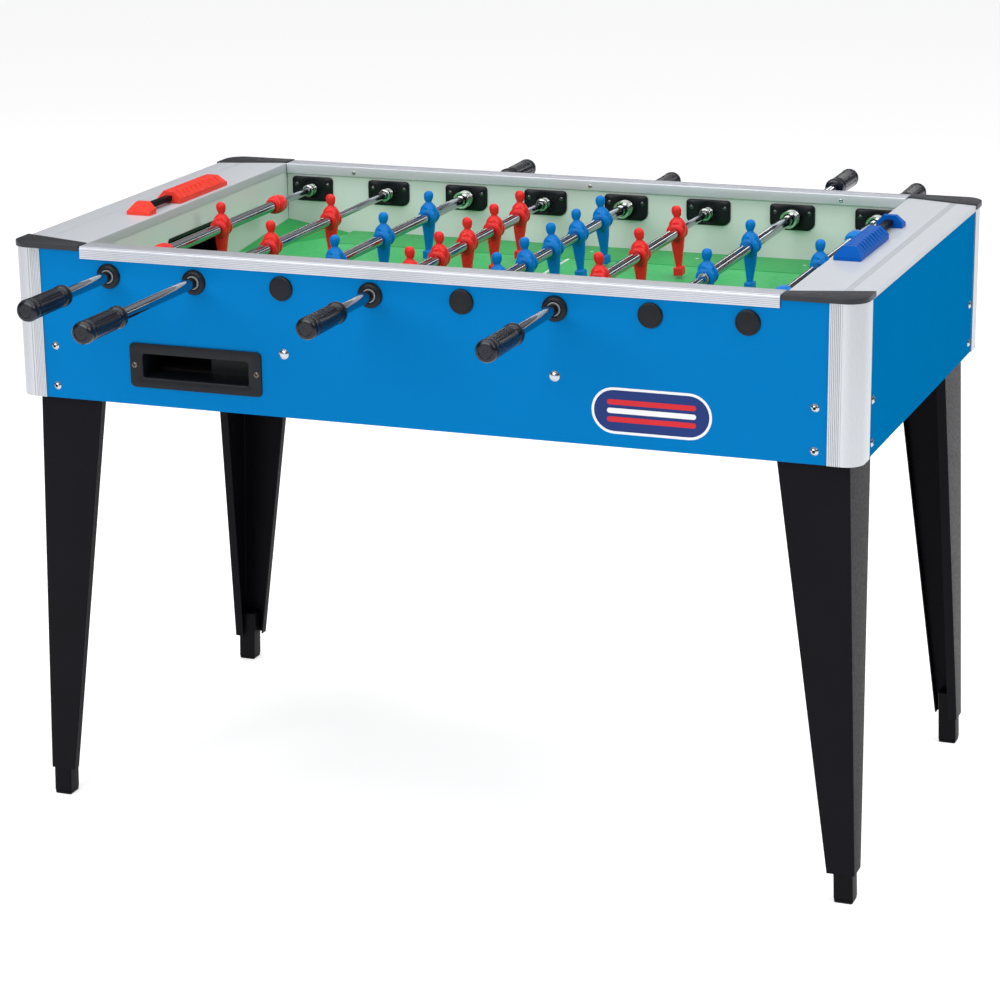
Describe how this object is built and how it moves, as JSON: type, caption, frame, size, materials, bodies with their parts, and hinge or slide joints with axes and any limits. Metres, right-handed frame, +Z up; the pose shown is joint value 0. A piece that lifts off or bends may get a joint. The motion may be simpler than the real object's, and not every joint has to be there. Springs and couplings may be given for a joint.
{
  "type": "table football table",
  "caption": "Table-football table: board cabinet on splayed sheet-steel legs, telescopic rods with figures, bead scorers, ball return cup.",
  "frame": {"origin": "on the floor, midway between the legs", "axes": "+X along the table from the red goal to the blue goal, +Y across it from the ball-return side to the far side, along the rods, +Z up"},
  "size_m": [1.364, 1.506, 0.9513],
  "materials": {
    "blue_laminate": "blue laminate on board, satin",
    "pale_laminate": "pale laminate on board, satin",
    "playfield_green": "printed green laminate, satin",
    "board": "black-stained fibreboard",
    "aluminium": "brushed",
    "chrome": "polished",
    "spring_steel": "bright plated",
    "black_steel": "satin black powder coat",
    "black_plastic": "moulded, slightly glossy",
    "handle_plastic": "charcoal, slightly glossy",
    "red_plastic": "moulded, glossy",
    "blue_plastic": "moulded, glossy"
  },
  "bodies": {
    "cabinet": {"front_panel": "blue_laminate", "rear_panel": "blue_laminate", "left_panel": "blue_laminate", "right_panel": "blue_laminate", "inner_walls": "pale_laminate", "playfield": "playfield_green", "playfield_ramps": "playfield_green", "return_base": "board", "side_rails": "aluminium", "end_plates": "aluminium", "corner_posts": "aluminium", "corner_caps": "black_plastic", "goal_frames": "black_plastic", "ball_cup": "black_plastic", "legs": "black_steel", "feet": "black_plastic", "bearing_plates": "black_plastic", "outer_bushings": "black_plastic", "blank_caps": "black_plastic", "buffer_springs": "spring_steel", "fasteners": "chrome", "scorer_bars": "black_steel", "red_scorer_brackets": "red_plastic", "blue_scorer_brackets": "blue_plastic"},
    "red_goal_core": {"red_goal_inner_rod": "chrome"},
    "red_goal_rod": {"red_goal_tube": "chrome", "red_goal_figures": "red_plastic", "red_goal_handle": "handle_plastic", "red_goal_bumpers": "red_plastic"},
    "red_defence_core": {"red_defence_inner_rod": "chrome"},
    "red_defence_rod": {"red_defence_tube": "chrome", "red_defence_figures": "red_plastic", "red_defence_handle": "handle_plastic"},
    "blue_attack_core": {"blue_attack_inner_rod": "chrome"},
    "blue_attack_rod": {"blue_attack_tube": "chrome", "blue_attack_figures": "blue_plastic", "blue_attack_handle": "handle_plastic"},
    "red_midfield_core": {"red_midfield_inner_rod": "chrome"},
    "red_midfield_rod": {"red_midfield_tube": "chrome", "red_midfield_figures": "red_plastic", "red_midfield_handle": "handle_plastic"},
    "blue_midfield_core": {"blue_midfield_inner_rod": "chrome"},
    "blue_midfield_rod": {"blue_midfield_tube": "chrome", "blue_midfield_figures": "blue_plastic", "blue_midfield_handle": "handle_plastic"},
    "red_attack_core": {"red_attack_inner_rod": "chrome"},
    "red_attack_rod": {"red_attack_tube": "chrome", "red_attack_figures": "red_plastic", "red_attack_handle": "handle_plastic"},
    "blue_defence_core": {"blue_defence_inner_rod": "chrome"},
    "blue_defence_rod": {"blue_defence_tube": "chrome", "blue_defence_figures": "blue_plastic", "blue_defence_handle": "handle_plastic"},
    "blue_goal_core": {"blue_goal_inner_rod": "chrome"},
    "blue_goal_rod": {"blue_goal_tube": "chrome", "blue_goal_figures": "blue_plastic", "blue_goal_handle": "handle_plastic", "blue_goal_bumpers": "blue_plastic"},
    "red_score": {"red_counters": "red_plastic"},
    "blue_score": {"blue_counters": "blue_plastic"}
  },
  "joints": [
    {"name": "red_goal_spin", "type": "hinge", "parent": "cabinet", "child": "red_goal_core", "pos_m": [-0.511, 0, 0.888], "axis": [0, 1, 0], "range_deg": [-214, 34]},
    {"name": "red_goal_push", "type": "slide", "parent": "red_goal_core", "child": "red_goal_rod", "axis": [0, 1, 0], "range_m": [-0.103, 0.103]},
    {"name": "red_defence_spin", "type": "hinge", "parent": "cabinet", "child": "red_defence_core", "pos_m": [-0.365, 0, 0.888], "axis": [0, 1, 0], "continuous": true},
    {"name": "red_defence_push", "type": "slide", "parent": "red_defence_core", "child": "red_defence_rod", "axis": [0, 1, 0], "range_m": [-0.203, 0.203]},
    {"name": "blue_attack_spin", "type": "hinge", "parent": "cabinet", "child": "blue_attack_core", "pos_m": [-0.219, 0, 0.888], "axis": [0, 1, 0], "continuous": true},
    {"name": "blue_attack_push", "type": "slide", "parent": "blue_attack_core", "child": "blue_attack_rod", "axis": [0, 1, 0], "range_m": [-0.127, 0.127]},
    {"name": "red_midfield_spin", "type": "hinge", "parent": "cabinet", "child": "red_midfield_core", "pos_m": [-0.073, 0, 0.888], "axis": [0, 1, 0], "continuous": true},
    {"name": "red_midfield_push", "type": "slide", "parent": "red_midfield_core", "child": "red_midfield_rod", "axis": [0, 1, 0], "range_m": [-0.08, 0.08]},
    {"name": "blue_midfield_spin", "type": "hinge", "parent": "cabinet", "child": "blue_midfield_core", "pos_m": [0.073, 0, 0.888], "axis": [0, 1, 0], "continuous": true},
    {"name": "blue_midfield_push", "type": "slide", "parent": "blue_midfield_core", "child": "blue_midfield_rod", "axis": [0, 1, 0], "range_m": [-0.08, 0.08]},
    {"name": "red_attack_spin", "type": "hinge", "parent": "cabinet", "child": "red_attack_core", "pos_m": [0.219, 0, 0.888], "axis": [0, 1, 0], "continuous": true},
    {"name": "red_attack_push", "type": "slide", "parent": "red_attack_core", "child": "red_attack_rod", "axis": [0, 1, 0], "range_m": [-0.127, 0.127]},
    {"name": "blue_defence_spin", "type": "hinge", "parent": "cabinet", "child": "blue_defence_core", "pos_m": [0.365, 0, 0.888], "axis": [0, 1, 0], "continuous": true},
    {"name": "blue_defence_push", "type": "slide", "parent": "blue_defence_core", "child": "blue_defence_rod", "axis": [0, 1, 0], "range_m": [-0.203, 0.203]},
    {"name": "blue_goal_spin", "type": "hinge", "parent": "cabinet", "child": "blue_goal_core", "pos_m": [0.511, 0, 0.888], "axis": [0, 1, 0], "range_deg": [-34, 214]},
    {"name": "blue_goal_push", "type": "slide", "parent": "blue_goal_core", "child": "blue_goal_rod", "axis": [0, 1, 0], "range_m": [-0.103, 0.103]},
    {"name": "red_score_slide", "type": "slide", "parent": "cabinet", "child": "red_score", "axis": [0, 1, 0], "range_m": [-0.085, 0]},
    {"name": "blue_score_slide", "type": "slide", "parent": "cabinet", "child": "blue_score", "axis": [0, 1, 0], "range_m": [0, 0.085]}
  ]
}
